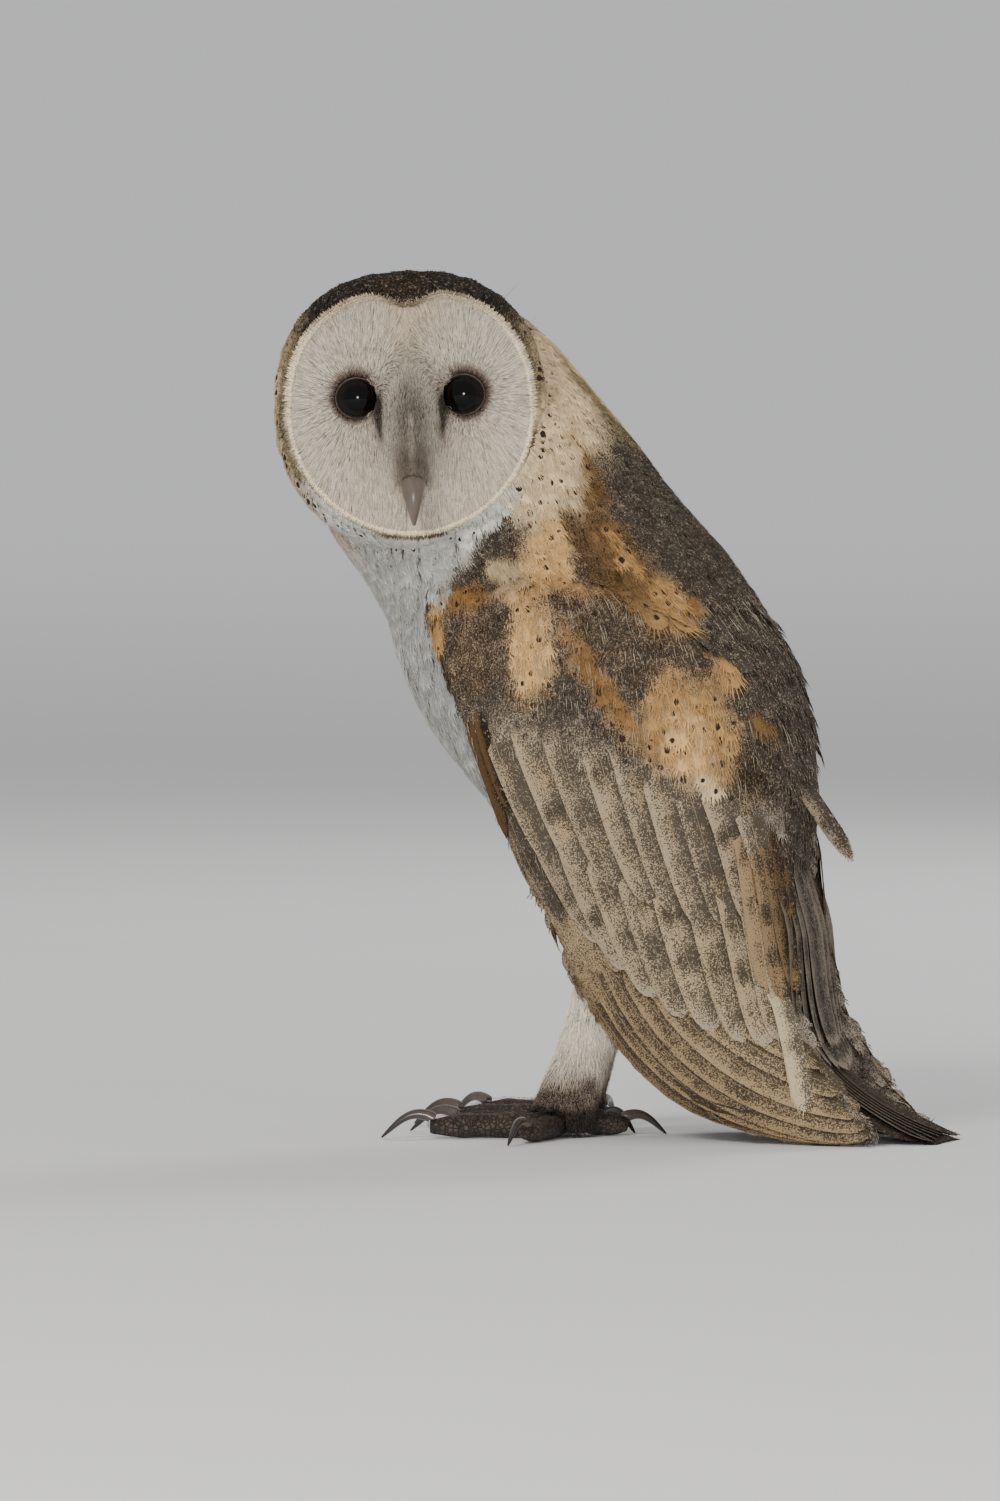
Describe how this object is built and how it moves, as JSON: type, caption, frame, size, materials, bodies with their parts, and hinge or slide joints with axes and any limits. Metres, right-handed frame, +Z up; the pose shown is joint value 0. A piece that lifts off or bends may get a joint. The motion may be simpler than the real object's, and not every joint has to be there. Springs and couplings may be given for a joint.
{
  "type": "barn owl model",
  "caption": "Standing barn owl with heart-shaped facial disc, head turned to its left, folded wings, feathered legs and taloned feet.",
  "frame": {"origin": "bottom centre of the model's box, on the floor that the soles, wing tips and tail tip lie on", "axes": "+Z up; the body points to -X, turned 20 degrees towards +Y; the face looks along -Y"},
  "size_m": [0.2416, 0.1424, 0.305],
  "materials": {
    "head_feathers": "matt, soft plumage",
    "face_feathers": "matt, fine hair-like feathers",
    "body_feathers": "matt, soft plumage",
    "wing_feathers": "matt to satin vanes",
    "tail_feathers": "matt to satin vanes",
    "leg_feathers": "matt, short plumage",
    "eye": "wet gloss",
    "bill_horn": "satin horn",
    "toe_skin": "scaled skin with sparse bristles",
    "claw_horn": "polished horn"
  },
  "bodies": {
    "root": {"bill_lower": "bill_horn", "bill_upper": "bill_horn", "claw_left_1": "claw_horn", "claw_left_2": "claw_horn", "claw_left_3": "claw_horn", "claw_left_4": "claw_horn", "claw_right_1": "claw_horn", "claw_right_2": "claw_horn", "claw_right_3": "claw_horn", "claw_right_4": "claw_horn", "eye_left": "eye", "eye_right": "eye", "facial_disc": "face_feathers", "head": "head_feathers", "leg_left_tarsus": "leg_feathers", "leg_left_thigh": "leg_feathers", "leg_right_tarsus": "leg_feathers", "leg_right_thigh": "leg_feathers", "neck": "body_feathers", "tail": "tail_feathers", "toe_left_1": "toe_skin", "toe_left_2": "toe_skin", "toe_left_3": "toe_skin", "toe_left_4": "toe_skin", "toe_right_1": "toe_skin", "toe_right_2": "toe_skin", "toe_right_3": "toe_skin", "toe_right_4": "toe_skin", "trunk": "body_feathers", "wing_left_coverts": "wing_feathers", "wing_left_primaries": "wing_feathers", "wing_left_secondaries": "wing_feathers", "wing_right_coverts": "wing_feathers", "wing_right_primaries": "wing_feathers", "wing_right_secondaries": "wing_feathers"}
  },
  "joints": []
}
